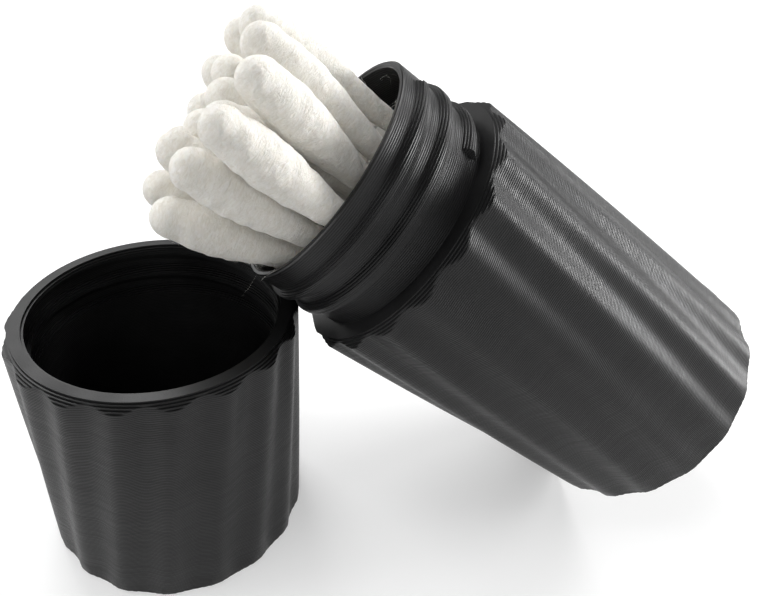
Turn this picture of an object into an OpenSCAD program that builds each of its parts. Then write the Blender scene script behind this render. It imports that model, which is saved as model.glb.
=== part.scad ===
// Travel case for cotton swabs: a fluted, threaded tube and its screw cap.
// The cap stands mouth up on the floor, and the open tube leans over its rim
// with the swabs still inside.

/* [Fluted walls] */
// Number of flutes round each part
flute_count = 18; // [12:1:24]
// Depth of a flute from crest to valley
flute_depth = 0.66; // [0.3:0.02:1]
// Turn of the flutes for each millimetre of height, in degrees
flute_turn = 0.41; // [0:0.02:1]
// Width of the flat lost to the chamfer at a mating rim, from the mean radius
rim_chamfer = 0.76; // [0.4:0.02:1.2]
// Width of the flat lost to the chamfer at a closed end, from the mean radius
foot_chamfer = 0.42; // [0.4:0.02:1]

/* [Case tube] */
// Widths of cotton that fit across the bore of the case
bore_bud_count = 5.07; // [5:0.01:6]
// Length of a swab that stands proud of the mouth
swab_proud = 15.3; // [13:0.1:18]
// Height of the threaded neck above the shoulder
neck_h = 11.5; // [10.5:0.1:14]
// Wall of the neck
neck_wall = 0.86; // [0.8:0.02:1.6]
// Chamfer round both edges of the neck's lip
lip_chamfer = 0.25; // [0.1:0.05:0.4]
// Thickness of the case's closed end
case_floor = 1.6; // [1.2:0.1:3]

/* [Screw cap] */
// Height of the cap
cap_h = 33.7; // [28:0.1:45]
// Thickness of the cap's closed end
cap_floor = 1.6; // [1.2:0.1:3]
// Wall of the cap round its bore, to the middle of the flutes
cap_wall = 2.45; // [2.3:0.05:3.5]
// Gap between the neck and the cap's bore, on the radius
neck_clearance = 0.25; // [0.15:0.05:0.4]
// Width of the chamfer that leads the neck into the cap
lead_in = 0.63; // [0.3:0.01:0.8]

/* [Thread] */
// Rise of the thread in one turn
pitch = 3.5; // [3.3:0.1:4]
// Height of the neck's thread above the neck
ridge_h = 0.7; // [0.5:0.05:0.9]
// Width of the neck's thread where it leaves the neck
ridge_root_w = 2.2; // [1.6:0.1:2.6]
// Width of the neck's thread along its crest
ridge_crest_w = 0.5; // [0.3:0.05:0.8]
// Length of the neck's thread, in turns
ridge_turns = 2.06; // [1.5:0.01:2.2]
// Height of the thread's first end above the shoulder, at its middle
ridge_start_h = 1.6; // [1.4:0.05:2]
// Gap between the thread's crest and the floor of the cap's groove
groove_clearance = 0.4; // [0.3:0.05:0.5]
// Width of the cap's groove at the bore
groove_mouth_w = 3; // [2.7:0.1:3.1]
// Width of the cap's groove along its floor
groove_floor_w = 0.9; // [0.7:0.1:1.4]

/* [Swabs] */
// Length of a swab over both ends
swab_l = 74; // [66:0.5:80]
// Largest diameter of the cotton
cotton_d = 5.5; // [5:0.1:6]
// Length of the cotton on each end
cotton_l = 22; // [18:0.5:24]
// Diameter of the cotton where its rounded end stops
cotton_tip_d = 4.8; // [4:0.1:5.2]
// Length of the rounded end of the cotton
cotton_round = 2.6; // [2.2:0.1:3]
// Distance of the cotton's widest place from its end
cotton_belly = 7.5; // [6:0.5:9]
// Diameter of the rolled paper stick
stick_d = 2.3; // [1.8:0.1:2.4]
// Cotton beyond each end of the stick
cotton_cover = 2; // [1:0.1:3]

/* [Resting place] */
// Depth below the cap's rim at which the leaning case's thread touches its chamfer
rest_drop = 1.25; // [1:0.05:1.5]
// How far the case lies to the side of the cap's axis
case_offset = 5.6; // [0:0.1:7]

/* [Hidden] */
// Where each swab lies in the case, in widths of its cotton: the middle of its upper
// rounded end, across the case, that of its lower one, and its height off the floor.
swab_places = [
    [0.3, -2.25, -0.55, -1.95, 0.15],
    [1.2, -1.65, -1.05, 0.25, 0.35],
    [1.45, -0.35, 0.5, -1.9, 0.25],
    [1.45, 0.8, 1.95, -0.05, 0.25],
    [0.75, 2.25, 1.7, -1.2, 0.75],
    [-0.25, 2.3, 0.8, 1.8, 0.25],
    [0.2, 1.2, 0.55, 0.35, 0.15],
    [0.05, 0.05, -0.4, 1.05, 0.1],
    [0, -1.1, 1.5, 1.2, 0.3],
    [-0.9, 1.45, -0.25, 2.05, 0.1],
    [-0.9, 0.4, -1.3, 1.55, 0.1],
    [-1.8, 1.2, -1.95, 0.55, 0.15],
    [-1.25, -0.55, -1.85, -0.4, 0.35],
    [-0.75, -2, -0.5, -0.85, 0.15],
    [-2.35, -0.15, -1.35, -1.5, 0.2],
    [-2.15, -1.4, 0.8, -0.55, 0.2]
];

case_bore_r = cotton_d * bore_bud_count / 2;
neck_r = case_bore_r + neck_wall;
cap_bore_r = neck_r + neck_clearance;
body_r = cap_bore_r + cap_wall;
crest_r = body_r + flute_depth / 2;
rim_r = body_r - rim_chamfer;
foot_r = body_r - foot_chamfer;
case_h = swab_l - swab_proud + case_floor - neck_h;
ridge_r = neck_r + ridge_h;
groove_r = ridge_r + groove_clearance;
groove_end_clearance = 0.06;
groove_depth = ridge_start_h + ridge_turns * pitch + groove_end_clearance;
// Angles round each part's own axis at which its flutes and its thread begin
case_flute_from = 12.4;
cap_flute_from = 11.3;
ridge_from = -28.5;
groove_from = 192;
flute_points = 8;
flute_slice_h = 6;
helix_step = 10;
flute_step = 360 / (flute_count * flute_points);
function flute_r(a) = body_r + flute_depth / 2 * cos(flute_count * a);
// The case leans with the lowest place of its thread on the chamfer of the cap's rim.
rest_s = case_h + ridge_start_h + pitch * (180 - ridge_from) / 360;
rest_side = foot_r - ridge_r;
case_tilt = asin((cap_h - rest_drop) / norm([rest_s, rest_side])) - atan2(rest_side, rest_s);
// Distance along the floor from the cap's axis to the middle of the case's closed end
case_reach = body_r + ridge_r * sin(case_tilt) + rest_s * cos(case_tilt);
// Height of the middle of the leaning case's closed end, whose chamfer just meets the floor
case_lift = max([
    for (a = [0:flute_step:360 - flute_step / 2])
        let (r = flute_r(a))
            -r * cos(a + case_flute_from) * cos(case_tilt) - (r - foot_r) * sin(case_tilt)
]);
overlap = 0.4;
outside = 1;
round_fn = 180;

stick_r = stick_d / 2;
stick_fit = 0.05;
cotton_edge = 0.15;
cotton_fn = 48;
end_inset = 2.5;

// Wavy outline of the flutes, seen along the axis.
module flute_outline(phase) {
    polygon([
        for (a = [0:flute_step:360 - flute_step / 2])
            [flute_r(a) * cos(a + phase), flute_r(a) * sin(a + phase)]
    ]);
}

// Solid fluted barrel with its closed end at the origin and both ends chamfered.
module fluted_barrel(h, phase) {
    far_r = crest_r + outside;
    intersection() {
        linear_extrude(height = h, twist = -flute_turn * h, slices = round(h / flute_slice_h))
            flute_outline(phase);
        rotate_extrude($fn = round_fn)
            polygon([
                [0, 0],
                [foot_r, 0],
                [far_r, far_r - foot_r],
                [far_r, h - far_r + rim_r],
                [rim_r, h],
                [0, h]
            ]);
    }
}

// Bar that follows a right-handed helix. Its section runs from the inner radius,
// where it is in_w high, out to the outer radius, where it is out_w high.
module helical_bar(in_r, out_r, in_w, out_w, from_z, turns) {
    steps = ceil(turns * 360 / helix_step);
    section = [[in_r, -in_w / 2], [out_r, -out_w / 2], [out_r, out_w / 2], [in_r, in_w / 2]];
    points = [
        for (i = [0:steps])
            let (a = i * turns * 360 / steps, z = from_z + i * turns * pitch / steps)
                for (q = section) [q[0] * cos(a), q[0] * sin(a), z + q[1]]
    ];
    sides = [
        for (i = [0:steps - 1], k = [0:3])
            let (a = 4 * i + k, b = 4 * i + (k + 1) % 4)
                for (t = [[a, b, b + 4], [a, b + 4, a + 4]]) t
    ];
    last = 4 * steps;
    ends = [[3, 2, 1, 0], [last, last + 1, last + 2, last + 3]];
    polyhedron(points, concat(sides, ends));
}

module case_upright() {
    root_r = neck_r - overlap;
    root_w = ridge_root_w + (ridge_root_w - ridge_crest_w) / ridge_h * overlap;
    difference() {
        union() {
            fluted_barrel(case_h, case_flute_from);
            rotate_extrude($fn = round_fn)
                polygon([
                    [0, case_h - outside],
                    [neck_r, case_h - outside],
                    [neck_r, case_h + neck_h - lip_chamfer],
                    [neck_r - lip_chamfer, case_h + neck_h],
                    [0, case_h + neck_h]
                ]);
            rotate(ridge_from)
                helical_bar(root_r, ridge_r, root_w, ridge_crest_w, case_h + ridge_start_h, ridge_turns);
        }
        translate([0, 0, case_floor])
            cylinder(r = case_bore_r, h = case_h + neck_h, $fn = round_fn);
        translate([0, 0, case_h + neck_h - lip_chamfer])
            cylinder(r1 = case_bore_r, r2 = case_bore_r + lip_chamfer + outside, h = lip_chamfer + outside,
                $fn = round_fn);
    }
}

// Lays what stands upright on its closed end into the leaning case's place.
module leaning() {
    translate([case_reach, case_offset, case_lift])
        rotate([0, case_tilt - 90, 0])
            children();
}

module case_tube() {
    color("#2b2b2d")
        leaning()
            case_upright();
}

module screw_cap() {
    turns = (groove_depth + outside) / pitch;
    in_r = cap_bore_r - overlap;
    in_w = groove_mouth_w + (groove_mouth_w - groove_floor_w) / (groove_r - cap_bore_r) * overlap;
    color("#262628")
        difference() {
            fluted_barrel(cap_h, cap_flute_from);
            union() {
                rotate_extrude($fn = round_fn)
                    polygon([
                        [0, cap_floor],
                        [cap_bore_r, cap_floor],
                        [cap_bore_r, cap_h - lead_in],
                        [cap_bore_r + lead_in + outside, cap_h + outside],
                        [0, cap_h + outside]
                    ]);
                rotate(groove_from)
                    helical_bar(in_r, groove_r, in_w, groove_floor_w, cap_h - groove_depth, turns);
            }
        }
}

// Puts what stands on the origin into the place of one swab in the case.
module in_swab_place(i) {
    p = cotton_d * swab_places[i - 1];
    across = [p[0] - p[2], p[1] - p[3]];
    lean = asin(norm(across) / (swab_l - 2 * end_inset));
    leaning()
        translate([p[2], p[3], case_floor + end_inset + p[4]])
            rotate([0, lean, atan2(across[1], across[0])])
                translate([0, 0, -end_inset])
                    children();
}

// Cotton wound on one end of a stick, with its rounded end at the origin: a dome,
// a swell up to the widest place, and a long taper down to the stick.
module cotton_bud() {
    cotton_r = cotton_d / 2;
    tip_r = cotton_tip_d / 2;
    edge_r = stick_r + cotton_edge;
    bore_r = stick_r + stick_fit;
    dome = [for (a = [0:15:90]) [tip_r * sin(a), cotton_round * (1 - cos(a))]];
    swell = [
        for (u = [0.25:0.25:1])
            [tip_r + (cotton_r - tip_r) * sin(90 * u), cotton_round + u * (cotton_belly - cotton_round)]
    ];
    taper = [
        for (u = [0.1:0.1:1])
            [edge_r + (cotton_r - edge_r) * (1 + cos(180 * u)) / 2, cotton_belly + u * (cotton_l - cotton_belly)]
    ];
    bore = [[bore_r, cotton_l], [bore_r, cotton_cover], [0, cotton_cover]];
    rotate_extrude($fn = cotton_fn)
        polygon(concat(dome, swell, taper, bore));
}

module swab_stick(i) {
    color("#efece4")
        in_swab_place(i)
            translate([0, 0, cotton_cover])
                cylinder(r = stick_r, h = swab_l - 2 * cotton_cover, $fn = cotton_fn);
}

module swab_cotton(i) {
    color("#f6f4ee")
        in_swab_place(i) {
            cotton_bud();
            translate([0, 0, swab_l])
                mirror([0, 0, 1])
                    cotton_bud();
        }
}

case_tube();
screw_cap();
for (i = [1:len(swab_places)]) {
    swab_stick(i);
    swab_cotton(i);
}
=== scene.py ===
import math
import bpy
import numpy as np
from mathutils import Matrix, Vector


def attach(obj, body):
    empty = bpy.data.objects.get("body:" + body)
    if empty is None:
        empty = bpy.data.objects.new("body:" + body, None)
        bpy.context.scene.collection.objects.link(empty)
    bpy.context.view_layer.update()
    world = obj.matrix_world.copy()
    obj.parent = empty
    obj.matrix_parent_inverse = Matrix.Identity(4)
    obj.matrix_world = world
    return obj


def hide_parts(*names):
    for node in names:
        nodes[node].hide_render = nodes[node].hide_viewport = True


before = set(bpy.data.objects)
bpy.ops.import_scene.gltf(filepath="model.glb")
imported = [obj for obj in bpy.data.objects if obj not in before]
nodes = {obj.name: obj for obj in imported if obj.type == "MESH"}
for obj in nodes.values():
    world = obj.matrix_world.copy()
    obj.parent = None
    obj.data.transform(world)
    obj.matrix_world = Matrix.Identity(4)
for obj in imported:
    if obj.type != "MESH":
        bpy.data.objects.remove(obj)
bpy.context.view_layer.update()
scene = bpy.context.scene
MM = 0.001

# Sizes in millimetres and angles in degrees, named and valued as in the part's source
flute_count = 18
flute_depth = 0.66
flute_turn = 0.41
rim_chamfer = 0.76
foot_chamfer = 0.42
bore_bud_count = 5.07
swab_proud = 15.3
neck_h = 11.5
neck_wall = 0.86
lip_chamfer = 0.25
case_floor = 1.6
cap_h = 33.7
cap_floor = 1.6
cap_wall = 2.45
neck_clearance = 0.25
lead_in = 0.63
pitch = 3.5
ridge_h = 0.7
ridge_root_w = 2.2
ridge_crest_w = 0.5
ridge_turns = 2.06
ridge_start_h = 1.6
groove_clearance = 0.4
groove_mouth_w = 3.0
groove_floor_w = 0.9
swab_l = 74.0
cotton_d = 5.5
cotton_l = 22.0
cotton_tip_d = 4.8
cotton_round = 2.6
cotton_belly = 7.5
stick_d = 2.3
cotton_edge = 0.15
end_inset = 2.5
rest_drop = 1.25
case_offset = 5.6
groove_end_clearance = 0.06
case_flute_from = 12.4
cap_flute_from = 11.3
ridge_from = -28.5
groove_from = 192.0
flute_points = 8
# Where each swab lies in the case, in widths of its cotton: the middle of its upper
# rounded end, across the case, that of its lower one, and its height off the floor
swab_places = [
    (0.3, -2.25, -0.55, -1.95, 0.15),
    (1.2, -1.65, -1.05, 0.25, 0.35),
    (1.45, -0.35, 0.5, -1.9, 0.25),
    (1.45, 0.8, 1.95, -0.05, 0.25),
    (0.75, 2.25, 1.7, -1.2, 0.75),
    (-0.25, 2.3, 0.8, 1.8, 0.25),
    (0.2, 1.2, 0.55, 0.35, 0.15),
    (0.05, 0.05, -0.4, 1.05, 0.1),
    (0, -1.1, 1.5, 1.2, 0.3),
    (-0.9, 1.45, -0.25, 2.05, 0.1),
    (-0.9, 0.4, -1.3, 1.55, 0.1),
    (-1.8, 1.2, -1.95, 0.55, 0.15),
    (-1.25, -0.55, -1.85, -0.4, 0.35),
    (-0.75, -2, -0.5, -0.85, 0.15),
    (-2.35, -0.15, -1.35, -1.5, 0.2),
    (-2.15, -1.4, 0.8, -0.55, 0.2),
]

case_bore_r = cotton_d * bore_bud_count / 2
neck_r = case_bore_r + neck_wall
cap_bore_r = neck_r + neck_clearance
body_r = cap_bore_r + cap_wall
rim_r = body_r - rim_chamfer
foot_r = body_r - foot_chamfer
case_h = swab_l - swab_proud + case_floor - neck_h
mouth_z = case_h + neck_h
ridge_r = neck_r + ridge_h
groove_d = ridge_r + groove_clearance - cap_bore_r
groove_depth = ridge_start_h + ridge_turns * pitch + groove_end_clearance
stick_r = stick_d / 2
# The case leans with the lowest place of its thread on the chamfer of the cap's rim
rest_s = case_h + ridge_start_h + pitch * (180 - ridge_from) / 360
rest_side = foot_r - ridge_r
case_tilt = math.asin((cap_h - rest_drop) / math.hypot(rest_s, rest_side)) - math.atan2(rest_side, rest_s)
case_reach = body_r + ridge_r * math.sin(case_tilt) + rest_s * math.cos(case_tilt)

# Printed layers of the shells, and the rings and points that their skins have
layer = 0.26
foot_layers = 3
rim_layers = 5
wall_step = 1.1
lead_in_h = 0.6
groove_zone_h = 11.4
bore_rest = 1.0
case_bore_rings = 12
cap_bore_rings = 10
crease_deg = 30.0
AZ = np.radians(np.arange(360.0))


def flute_r(a):
    """Radius of a fluted barrel at an angle, in radians, from the crest of a flute."""
    return body_r + flute_depth / 2 * np.cos(flute_count * a)


def case_lift():
    """Height of the middle of the leaning case's closed end, whose chamfer just meets the floor."""
    a = np.arange(0, 360, 360 / (flute_count * flute_points))
    r = flute_r(np.radians(a))
    down = -r * np.cos(np.radians(a + case_flute_from)) * math.cos(case_tilt)
    return float(np.max(down - (r - foot_r) * math.sin(case_tilt)))


leaning = (
    Matrix.Translation(Vector((case_reach, case_offset, case_lift())) * MM)
    @ Matrix.Rotation(case_tilt - math.pi / 2, 4, "Y")
)


# Making of meshes
def linked_object(name, verts, faces):
    """A smooth piece from points in metres, in the scene."""
    me = bpy.data.meshes.new(name)
    me.from_pydata(verts.tolist(), [], faces)
    me.update()
    me.shade_smooth()
    ob = bpy.data.objects.new(name, me)
    scene.collection.objects.link(ob)
    return ob


def moved(verts, matrix):
    """Points in millimetres, set in their place in the row's frame, in metres."""
    m = np.array(matrix)
    return verts * MM @ m[:3, :3].T + m[:3, 3]


def placed_mesh(name, verts, faces, matrix):
    """A piece from points in its own upright frame, set in its place.
    Its attribute "place" keeps the upright points, for the material."""
    ob = linked_object(name, moved(verts, matrix), faces)
    at = ob.data.attributes.new("place", "FLOAT_VECTOR", "POINT")
    at.data.foreach_set("vector", np.asarray(verts, np.float32).ravel())
    return ob


def tube_faces(n_az, n_rings):
    """Faces over rings of n_az points, with a fan at each end to the two points after them."""
    k = np.arange(n_az)
    k2 = (k + 1) % n_az
    faces = []
    for i in range(n_rings - 1):
        a = i * n_az
        b = a + n_az
        faces += np.stack([a + k, a + k2, b + k2, b + k], 1).tolist()
    last = (n_rings - 1) * n_az
    middle = n_rings * n_az
    faces += np.stack([np.full(n_az, middle), k2, k], 1).tolist()
    faces += np.stack([np.full(n_az, middle + 1), last + k, last + k2], 1).tolist()
    return faces


def shell_mesh(name, rows, matrix):
    """Closed skin over rings of points: rows is a list of (radius at each azimuth, height)."""
    rings = [
        np.stack([r * np.cos(AZ), r * np.sin(AZ), np.full(len(AZ), z)], 1)
        for r, z in rows
    ]
    middles = [(0, 0, rows[0][1]), (0, 0, rows[-1][1])]
    verts = np.vstack(rings + [middles])
    ob = placed_mesh(name, verts, tube_faces(len(AZ), len(rows)), matrix)
    ob.data.set_sharp_from_angle(angle=math.radians(crease_deg))
    return ob


def steps(z_from, z_to, radius_at):
    """Rings that follow radius_at(z) in stairs, each with a straight wall about one layer high."""
    rows = []
    n = int(round(abs(z_to - z_from) / layer))
    h = (z_to - z_from) / n
    for i in range(n):
        z = z_from + i * h
        r = radius_at(z + h / 2)
        rows += [(r, z), (r, z + h)]
    return rows


# Printed shells
def flute(z, start):
    """Radius of the twisted flutes at each azimuth, at the height z."""
    return flute_r(AZ - math.radians(start + flute_turn * z))


def part_turn(start):
    """Part of a turn from the thread's start to each azimuth."""
    return ((AZ - math.radians(start)) % (2 * math.pi)) / (2 * math.pi)


def flank(d, foot_w, crest_w, h):
    """Height of a trapezoid at the distance d from its middle."""
    return np.clip((foot_w / 2 - d) / (foot_w / 2 - crest_w / 2), 0, 1) * h


def ridge(z):
    """Radius of the neck with its thread at each azimuth; z from the shoulder."""
    best = np.zeros(len(AZ))
    for k in range(math.ceil(ridge_turns)):
        t = part_turn(ridge_from) + k
        d = np.abs(z - (ridge_start_h + t * pitch))
        h = flank(d, ridge_root_w, ridge_crest_w, ridge_h)
        best = np.maximum(best, np.where(t <= ridge_turns, h, 0))
    return neck_r + best


def groove(z):
    """Radius of the cap's bore with its groove at each azimuth; z from the cap's foot."""
    best = np.zeros(len(AZ))
    for k in range(math.ceil(groove_zone_h / pitch) + 1):
        t = part_turn(groove_from) + k
        d = np.abs(z - (cap_h - groove_depth + t * pitch))
        best = np.maximum(best, flank(d, groove_mouth_w, groove_floor_w, groove_d))
    return cap_bore_r + best


def barrel_rows(h, start):
    """Foot, walls and rim chamfer of a fluted barrel."""
    low = foot_layers * layer
    high = h - rim_layers * layer
    rows = [(foot_r / 2, 0.0)]
    rows += steps(0, low, lambda z: np.minimum(flute(z, start), foot_r + z))
    for z in np.linspace(low, high, int((high - low) / wall_step))[1:-1]:
        rows.append((flute(z, start), z))
    rows += steps(high, h, lambda z: np.minimum(flute(z, start), rim_r + h - z))
    return rows


def bore_rows(bore_r, z_from, z_to, count):
    """Plain bore down to the floor, and the floor."""
    rows = [(bore_r, z) for z in np.linspace(z_from, z_to, count)]
    return rows + [(bore_r / 2, z_to)]


def case_rows():
    """The case from its foot over the shoulder, the threaded neck and the lip to its inside."""
    rows = barrel_rows(case_h, case_flute_from)
    rows.append((neck_r, case_h))
    rows += steps(case_h, mouth_z - lip_chamfer, lambda z: ridge(z - case_h))
    rows.append((neck_r - lip_chamfer, mouth_z))
    rows.append((case_bore_r + lip_chamfer, mouth_z))
    rows.append((case_bore_r, mouth_z - lip_chamfer))
    return rows + bore_rows(case_bore_r, mouth_z - bore_rest, case_floor, case_bore_rings)


def cap_rows():
    """The cap from its foot over the rim, the lead-in and the groove to its inside."""
    wide_r = cap_bore_r + lead_in
    lead_in_z = cap_h - lead_in_h
    groove_z = cap_h - groove_zone_h
    rows = barrel_rows(cap_h, cap_flute_from)
    rows.append((wide_r, cap_h))
    rows += steps(cap_h, lead_in_z, lambda z: wide_r - (cap_h - z))
    rows += steps(lead_in_z, groove_z, groove)
    return rows + bore_rows(cap_bore_r, groove_z - bore_rest, cap_floor, cap_bore_rings)


tube = shell_mesh("case_tube_printed", case_rows(), leaning)
cap = shell_mesh("screw_cap_printed", cap_rows(), Matrix.Identity(4))
for ob, node, slot in ((tube, "case_tube", "case_plastic"), (cap, "screw_cap", "cap_plastic")):
    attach(ob, "root")
    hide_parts(node)


# Swabs
# A full turn in radians, rounded, for the random start of a wave
full_turn = 6.28
# Share of the rings' spacing that grows away from a bud's end, and where the first ring lies
ring_growth = 0.35
first_ring = 0.03


def bud_profile(t):
    """Radius of a cotton bud t mm from its rounded end: a dome, a swell and a long taper."""
    belly_r = cotton_d / 2
    tip_r = cotton_tip_d / 2
    edge_r = stick_r + cotton_edge
    dome = tip_r * np.sqrt(np.clip(1 - (1 - np.clip(t / cotton_round, 0, 1)) ** 2, 0, 1))
    u = np.clip((t - cotton_round) / (cotton_belly - cotton_round), 0, 1)
    swell = tip_r + (belly_r - tip_r) * np.sin(np.pi / 2 * u)
    w = np.clip((t - cotton_belly) / (cotton_l - cotton_belly), 0, 1)
    taper = edge_r + (belly_r - edge_r) * (1 + np.cos(np.pi * w)) / 2
    return np.where(t < cotton_round, dome, np.where(t < cotton_belly, swell, taper))


def swab_matrix(place):
    """Where a swab stands, from its own upright frame with the lower end at the origin."""
    p = [cotton_d * v for v in place]
    across = (p[0] - p[2], p[1] - p[3])
    lean = math.asin(math.hypot(*across) / (swab_l - 2 * end_inset))
    az = math.atan2(across[1], across[0])
    return (
        leaning
        @ Matrix.Translation(Vector((p[2], p[3], case_floor + end_inset + p[4])) * MM)
        @ Matrix.Rotation(az, 4, "Z")
        @ Matrix.Rotation(lean, 4, "Y")
        @ Matrix.Translation(Vector((0, 0, -end_inset)) * MM)
    )


def wave(rng, a, t, lobes, slants, least, depth, both_ways=True):
    """A wave round and along the bud, with a random number of lobes, slant, strength and start."""
    m = rng.integers(*lobes)
    k = rng.uniform(*slants)
    if both_ways:
        k *= rng.choice((-1, 1))
    return rng.uniform(least, 1.0) * depth * np.cos(m * a + k * t + rng.uniform(0, full_turn))


def lumps(rng, a, t):
    """Soft unevenness of wound cotton, in mm: broad dents, a waist behind the rounded end, furrows
    that run slantwise round the bud, fine creases, and an early taper."""
    out = np.zeros(np.broadcast(a, t).shape)
    for _ in range(8):
        out += wave(rng, a, t, (1, 4), (0.1, 0.5), 0.4, 0.045, both_ways=False)
    waist_depth = rng.uniform(0.05, 0.22)
    waist_t = rng.uniform(2.4, 3.6)
    waist_w = 0.8
    out -= waist_depth * np.exp(-((t - waist_t) / waist_w) ** 2)
    for _ in range(12):
        out += wave(rng, a, t, (1, 5), (1.4, 3.4), 0.3, 0.022)
    for _ in range(12):
        out += wave(rng, a, t, (5, 16), (2.0, 6.0), 0.3, 0.008)
    taper_from = 8
    taper_run = 6
    return out - rng.uniform(0.1, 0.4) * np.clip((t - taper_from) / taper_run, 0, 1)


def bud(rng, n_az, n_rings, rough):
    """Points and faces of one bud with its rounded end at the origin, growing along +z."""
    u = np.linspace(0, 1, n_rings)
    t = cotton_l * (ring_growth * u ** 2 + (1 - ring_growth) * u)
    t[0] = first_ring
    a, t = np.meshgrid(np.arange(n_az) * 2 * np.pi / n_az, t)
    r = bud_profile(t)
    fade = np.clip(r / (cotton_d / 2), 0, 1) ** 2
    r = r + rough * lumps(rng, a, t) * fade
    rings = np.stack([r * np.cos(a), r * np.sin(a), t], -1).reshape(-1, 3)
    verts = np.vstack([rings, (0, 0, 0), (0, 0, cotton_l)])
    return verts, tube_faces(n_az, n_rings)


def wound_cotton(rng):
    """Points and faces of a swab's two buds. The lower one is hidden, and so it is coarser."""
    top, top_faces = bud(rng, n_az=84, n_rings=110, rough=1.0)
    low, low_faces = bud(rng, n_az=32, n_rings=40, rough=0.6)
    top = top * (1, 1, -1) + (0, 0, swab_l)
    # the mirrored bud's faces are turned round, and counted on from the lower bud's points
    turned = [[j + len(low) for j in f[::-1]] for f in top_faces]
    return np.vstack([low, top]), low_faces + turned


rng = np.random.default_rng(7)
cottons = []
for i, place in enumerate(swab_places):
    verts, faces = wound_cotton(rng)
    ob = placed_mesh("swab_cotton_wound_%d" % (i + 1), verts, faces, swab_matrix(place))
    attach(ob, "root")
    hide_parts("swab_cotton_%d" % (i + 1))
    cottons.append(ob)

# Fine loose fibres on the buds: how many each has, how far from its end they and those at the
# tip reach, and their length, height off the cotton and half width
fuzz_count = 330
fuzz_zone = (0.1, 16.0)
tip_zone = (0.02, 3.5)
tip_share = 0.4
fuzz_end = 18
fuzz_length = (0.5, 1.9)
fuzz_lift = (0.03, 0.24)
fuzz_sink = 0.02
fuzz_wide = (0.007, 0.013)
# A few stand up more than the rest
wild_share = 0.06
wild_lift = 2.2
# Least radius that a fibre is wrapped round
wrap_r = 0.8
# Long strays: azimuth and height above the mouth at which they start, and how many at each
stray_roots = (
    (20, -1), (8, -2.5), (340, -0.5), (322, -1.5), (300, 0.2),
    (262, 0.1), (240, 0.2), (222, 0.1), (200, 0),
)
strays_each = 3
stray_spread = 9
stray_length = (1.5, 4.0)
stray_wide = (0.008, 0.013)


class Hairs:
    """Thin three-sided strands gathered into one mesh."""

    def __init__(self):
        self.verts = []
        self.faces = []
        self.count = 0

    def strand(self, pts, wide, matrix):
        n = len(pts)
        along = np.gradient(pts, axis=0)
        along /= np.linalg.norm(along, axis=1)[:, None] + 1e-9
        # a direction that strands hardly follow gives the two across them
        side = np.cross(along, (0.3, 0.5, 0.8))
        side /= np.linalg.norm(side, axis=1)[:, None] + 1e-9
        other = np.cross(along, side)
        corner = np.radians((0, 120, 240))
        ring = np.cos(corner)[:, None] * side[:, None] + np.sin(corner)[:, None] * other[:, None]
        thin = wide * (1 - 0.5 * np.linspace(0, 1, n))[:, None, None]
        self.verts.append(moved((pts[:, None] + thin * ring).reshape(-1, 3), matrix))
        i = self.count + 3 * np.arange(n - 1)[:, None]
        k = np.array((0, 1, 2))
        k2 = np.array((1, 2, 0))
        quads = np.stack([i + k, i + k2, i + 3 + k2, i + 3 + k], -1).reshape(-1, 4)
        self.faces += quads.tolist()
        self.count += 3 * n

    def build(self, name):
        return linked_object(name, np.vstack(self.verts), self.faces)


def fuzz(rng):
    """Short fibres that rise from each bud's skin, some of them curling back to it."""
    hairs = Hairs()
    s = np.linspace(0, 1, 6)
    for place in swab_places:
        m = swab_matrix(place)
        for _ in range(fuzz_count):
            t = rng.uniform(*fuzz_zone) if rng.random() > tip_share else rng.uniform(*tip_zone)
            length = rng.uniform(*fuzz_length)
            around = max(bud_profile(np.array([t]))[0], wrap_r)
            a = rng.uniform(0, 2 * np.pi) + rng.uniform(-1, 1) * length * s / around
            t = np.clip(t + rng.normal(0, 0.5) * length * s, tip_zone[0], fuzz_end)
            lift = rng.uniform(*fuzz_lift) * (1 if rng.random() > wild_share else wild_lift)
            r = bud_profile(t) - fuzz_sink + lift * s ** 1.5 * np.cos(s * rng.uniform(0, 1.6))
            pts = np.stack([r * np.cos(a), r * np.sin(a), swab_l - t], 1)
            hairs.strand(pts, rng.uniform(*fuzz_wide), m)
    return hairs


def strays(rng):
    """Long thin fibres that start inside the mouth of the case and wander, some over its lip."""
    hairs = Hairs()
    s = np.linspace(0, 1, 14)[:, None]
    root_r = 0.97 * case_bore_r
    held_r = 0.985 * case_bore_r
    for azimuth, z in stray_roots:
        for _ in range(strays_each):
            a = math.radians(azimuth + rng.uniform(-stray_spread, stray_spread))
            start = np.array((root_r * math.cos(a), root_r * math.sin(a), mouth_z + z))
            heading = rng.normal(0, 1, 3) * (1, 1, 0.7)
            heading -= 0.6 * np.array((math.cos(a), math.sin(a), -0.5))
            heading /= np.linalg.norm(heading)
            bend = rng.normal(0, 0.8, 3)
            length = rng.uniform(*stray_length)
            wiggle = 0.08 * np.sin(7 * s + rng.uniform(0, 6, 3))
            pts = start + length * (s * heading + 0.5 * s ** 2 * bend + wiggle)
            # below the mouth a stray stays inside the bore
            r = np.hypot(pts[:, 0], pts[:, 1])
            inward = np.where(pts[:, 2] < mouth_z, np.minimum(1, held_r / r), 1)
            pts[:, :2] *= inward[:, None]
            hairs.strand(pts, rng.uniform(*stray_wide), leaning)
    return hairs


fibres = fuzz(np.random.default_rng(11)).build("cotton_fibres")
loose = strays(np.random.default_rng(5)).build("cotton_strays")
for ob in (fibres, loose):
    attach(ob, "root")


# Nodes of materials
def set_inputs(t, n, values):
    """Sets a node's inputs by name or number, with a link where the value is a socket."""
    for key, v in values.items():
        if isinstance(v, bpy.types.NodeSocket):
            t.links.new(v, n.inputs[key])
        else:
            n.inputs[key].default_value = v


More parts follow.
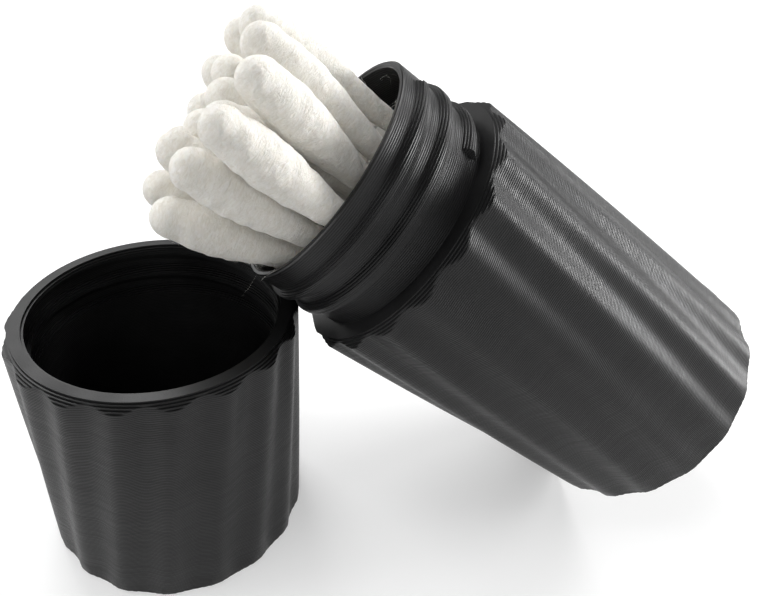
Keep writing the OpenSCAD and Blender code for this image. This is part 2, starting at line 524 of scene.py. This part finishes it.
def add(t, kind, values, out=0, **settings):
    """A new node with its inputs and settings; gives back one of its outputs."""
    n = t.nodes.new(kind)
    for k, v in settings.items():
        setattr(n, k, v)
    set_inputs(t, n, values)
    return n.outputs[out]


def place_of(t):
    """Upright place of a piece's point, in mm, kept by placed_mesh."""
    return add(t, "ShaderNodeAttribute", {}, "Vector", attribute_name="place")


def maths(t, operation, *values):
    return add(t, "ShaderNodeMath", dict(enumerate(values)), operation=operation)


def stretched(t, vector, factors):
    return add(t, "ShaderNodeVectorMath", {0: vector, 1: factors}, operation="MULTIPLY")


def height_of(t, vector):
    return add(t, "ShaderNodeSeparateXYZ", {0: vector}, "Z")


def noise(t, vector, scale, detail, roughness=0.5, distortion=0.0):
    return add(t, "ShaderNodeTexNoise", {
        "Vector": vector,
        "Scale": scale,
        "Detail": detail,
        "Roughness": roughness,
        "Distortion": distortion,
    })


def remap(t, value, before, after):
    """The value with the range before turned into the range after, and held inside it."""
    return add(t, "ShaderNodeMapRange", {0: value, 1: before[0], 2: before[1], 3: after[0], 4: after[1]})


def blend(t, factor, first, second):
    return add(t, "ShaderNodeMixRGB", {0: factor, 1: (*first, 1), 2: (*second, 1)})


def bump(t, height, strength, distance):
    return add(t, "ShaderNodeBump", {"Height": height, "Strength": strength, "Distance": distance})


def emptied_tree(owner):
    owner.use_nodes = True
    owner.node_tree.nodes.clear()
    return owner.node_tree


def end_tree(t, kind, surface):
    t.links.new(surface, t.nodes.new(kind).inputs[0])


def new_material(name):
    """A material, its tree and its one surface shader."""
    m = bpy.data.materials.new(name)
    t = emptied_tree(m)
    shader = t.nodes.new("ShaderNodeBsdfPrincipled")
    end_tree(t, "ShaderNodeOutputMaterial", shader.outputs[0])
    return m, t, shader


# Materials of the object
def printed_plastic(name, colour, rough):
    """Dark filament laid down in layers: rounded beads with fine grooves between them, with painted shade
    in the grooves and a painted highlight on each bead's crown.
    """
    m, t, shader = new_material(name)
    place = place_of(t)
    # whole layers, counted from the part's foot, fall on a bead's crown
    phase = maths(t, "MULTIPLY_ADD", height_of(t, place), math.pi / layer, math.pi / 2)
    bead = maths(t, "ABSOLUTE", maths(t, "SINE", phase))
    # each layer sits a little differently from the next, and wavers along its way
    waver = noise(t, stretched(t, place, (0.1, 0.1, 1 / layer)), 1.0, 2.0, 0.6)
    grain = noise(t, place, 6.0, 3.0, 0.6)
    broad = noise(t, place, 0.2, 3.0)
    height = maths(t, "MULTIPLY_ADD", waver, 0.45, bead)
    height = maths(t, "MULTIPLY_ADD", grain, 0.35, height)
    # painted shade darkens the grooves between the beads and a painted highlight lightens their crowns,
    # as on the treads of the foot's stairs; the other stairs start between whole layers; dust and wear
    # shift the tone
    shade = remap(t, bead, (0.0, 0.8), (0.35, 1.15))
    painted_crown_highlight = remap(t, bead, (0.97, 1.0), (0.0, 3.0))
    tone = remap(t, broad, (0.3, 0.7), (0.8, 1.25))
    amount = maths(t, "MULTIPLY", maths(t, "ADD", shade, painted_crown_highlight), tone)
    tint = add(t, "ShaderNodeVectorMath", {0: colour, "Scale": amount}, operation="SCALE")
    set_inputs(t, shader, {
        "Base Color": tint,
        "Normal": bump(t, height, 1.0, 0.03 * MM),
        "Roughness": remap(t, waver, (0.3, 0.7), (rough - 0.06, rough + 0.08)),
        "Specular IOR Level": 0.25,
        "IOR": 1.46,
    })
    return m


def cotton_material(name, bumpy):
    """Wound cotton: soft flecks that lie across the bud, over broader billows."""
    m, t, shader = new_material(name)
    place = place_of(t)
    flecks = noise(t, stretched(t, place, (1.0, 1.0, 3.0)), 1.1, 6.0, 0.68, 1.2)
    billows = noise(t, place, 0.6, 3.0)
    if bumpy:
        height = maths(t, "MULTIPLY_ADD", flecks, 0.8, billows)
        set_inputs(t, shader, {"Normal": bump(t, height, 0.75, 0.4 * MM)})
    shade = remap(t, flecks, (0.35, 0.62), (0.0, 1.0))
    set_inputs(t, shader, {
        "Base Color": blend(t, shade, (0.8, 0.765, 0.69), (0.92, 0.9, 0.85)),
        "Roughness": 0.95,
        "Specular IOR Level": 0.15,
        "Subsurface Weight": 0.2,
        "Subsurface Radius": (1.0, 0.8, 0.6),
        "Subsurface Scale": 0.6 * MM,
        "Sheen Weight": 0.2,
        "Sheen Roughness": 0.6,
    })
    return m


def paper_material():
    """Rolled paper of the sticks, faintly mottled."""
    m, t, shader = new_material("stick_paper")
    place = add(t, "ShaderNodeTexCoord", {}, "Object")
    mottle = noise(t, place, 2500.0, 4.0)
    set_inputs(t, shader, {
        "Base Color": blend(t, mottle, (0.78, 0.76, 0.71), (0.86, 0.85, 0.81)),
        "Normal": bump(t, mottle, 0.3, 0.03 * MM),
        "Roughness": 0.8,
    })
    return m


def dress(ob, material):
    """Gives a CAD mesh the material in each of its slots, and an added piece its first one."""
    for slot in ob.material_slots:
        slot.material = material
    if not ob.material_slots:
        ob.data.materials.append(material)


case_plastic = printed_plastic("case_plastic", (0.0095, 0.0095, 0.0098), 0.36)
cap_plastic = printed_plastic("cap_plastic", (0.0085, 0.0085, 0.0088), 0.37)
cotton = cotton_material("cotton", bumpy=True)
fibre = cotton_material("cotton_fibre", bumpy=False)
paper = paper_material()
for i in range(len(swab_places)):
    dress(nodes["swab_stick_%d" % (i + 1)], paper)
    dress(nodes["swab_cotton_%d" % (i + 1)], cotton)
for ob, material in (
    (nodes["case_tube"], case_plastic),
    (nodes["screw_cap"], cap_plastic),
    (tube, case_plastic),
    (cap, cap_plastic),
    (fibres, fibre),
    (loose, fibre),
):
    dress(ob, material)
for ob in cottons:
    dress(ob, cotton)


# Floor and world
floor_half = 3.0
floor_grey = 0.62
floor_glow = 0.42
ceiling_strength = 0.25
# Height of a ray's direction at which the backdrop begins to fade in reflections, and where it ends
backdrop_fade = (0.12, 0.3)


def seen_rays(t, *kinds):
    """1 on a ray of any of the given kinds, else 0."""
    path = t.nodes.new("ShaderNodeLightPath")
    seen = path.outputs[kinds[0]]
    for kind in kinds[1:]:
        seen = maths(t, "MAXIMUM", seen, path.outputs[kind])
    return seen


def glow(t, strength):
    return add(t, "ShaderNodeEmission", {"Strength": strength})


def floor_material():
    """Pale floor that keeps the object's shadow, and glows a little where it is seen."""
    m = bpy.data.materials.new("floor")
    t = emptied_tree(m)
    diffuse = add(t, "ShaderNodeBsdfDiffuse", {0: (floor_grey, floor_grey, floor_grey, 1)})
    seen = seen_rays(t, "Is Camera Ray", "Is Glossy Ray", "Is Transmission Ray")
    lit = add(t, "ShaderNodeMixShader", {0: seen, 1: glow(t, 0.0), 2: glow(t, floor_glow)})
    end_tree(t, "ShaderNodeOutputMaterial", add(t, "ShaderNodeAddShader", {0: diffuse, 1: lit}))
    return m


def studio_world():
    """A pale backdrop, which reflections show low down all round, under a dim ceiling."""
    world = bpy.data.worlds.new("studio")
    scene.world = world
    t = emptied_tree(world)
    dim = add(t, "ShaderNodeBackground", {"Strength": ceiling_strength})
    pale = add(t, "ShaderNodeBackground", {"Strength": 1.0})
    direction = add(t, "ShaderNodeTexCoord", {}, "Generated")
    low = remap(t, height_of(t, direction), backdrop_fade, (1.0, 0.0))
    mirrored = maths(t, "MULTIPLY", seen_rays(t, "Is Glossy Ray", "Is Transmission Ray"), low)
    shown = maths(t, "MAXIMUM", seen_rays(t, "Is Camera Ray"), mirrored)
    end_tree(t, "ShaderNodeOutputWorld", add(t, "ShaderNodeMixShader", {0: shown, 1: dim, 2: pale}))


me = bpy.data.meshes.new("floor")
corners = [(x * floor_half, y * floor_half, 0) for x, y in ((-1, -1), (1, -1), (1, 1), (-1, 1))]
me.from_pydata(corners, [], [(0, 1, 2, 3)])
me.materials.append(floor_material())
floor = bpy.data.objects.new("floor", me)
scene.collection.objects.link(floor)
studio_world()

# Lights, in metres and watts
light_aim = Vector((0.03, 0.0, 0.03))
light_distance = 0.6


def area(name, azimuth, elevation, size, power):
    """Square soft light that looks at the object, at an azimuth counted from +X."""
    az = math.radians(azimuth)
    el = math.radians(elevation)
    away = Vector((math.cos(az) * math.cos(el), math.sin(az) * math.cos(el), math.sin(el)))
    d = bpy.data.lights.new(name, "AREA")
    d.shape = "SQUARE"
    d.size = size
    d.energy = power
    ob = bpy.data.objects.new(name, d)
    scene.collection.objects.link(ob)
    ob.location = light_aim + light_distance * away
    ob.rotation_euler = away.to_track_quat("Z", "Y").to_euler()


area("key", 2, 11, 0.22, 3.7)
area("back_right", 32, 36, 0.22, 1.6)
area("back_left", 116, 46, 0.26, 1.9)
area("left", 178, 12, 0.24, 1.5)
area("front", 268, 34, 0.26, 0.6)
area("top", 180, 76, 0.3, 1.0)

# The photograph's size, the lens's focal length and the point straight ahead of it, in pixels
photo_w = 757
photo_h = 596
focal_px = 677.75
ahead_x = 329.18
ahead_y = 301.276
# Width of the camera's sensor, in mm
sensor_w = 36.0
# The camera's place in mm, and its turn, downward pitch and roll in radians
camera_place = (16.313, -69.292, 82.697)
camera_turn = math.radians(-4.354)
camera_pitch = 0.609
camera_roll = 0.028


def camera_matrix():
    forward = Vector((
        -math.sin(camera_turn) * math.cos(camera_pitch),
        math.cos(camera_turn) * math.cos(camera_pitch),
        -math.sin(camera_pitch),
    ))
    level = Vector((math.cos(camera_turn), math.sin(camera_turn), 0))
    upright = level.cross(forward)
    right = level * math.cos(camera_roll) + upright * math.sin(camera_roll)
    up = upright * math.cos(camera_roll) - level * math.sin(camera_roll)
    turned = Matrix((right, up, -forward)).transposed()
    return Matrix.Translation(Vector(camera_place) * MM) @ turned.to_4x4()


lens = bpy.data.cameras.new("camera")
lens.sensor_fit = "HORIZONTAL"
lens.sensor_width = sensor_w
lens.lens = focal_px / photo_w * sensor_w
lens.shift_x = (photo_w / 2 - ahead_x) / photo_w
lens.shift_y = (ahead_y - photo_h / 2) / photo_w
lens.clip_start = 0.001
lens.clip_end = 20
camera = bpy.data.objects.new("camera", lens)
scene.collection.objects.link(camera)
camera.matrix_world = camera_matrix()
scene.camera = camera

scene.view_settings.view_transform = "Standard"
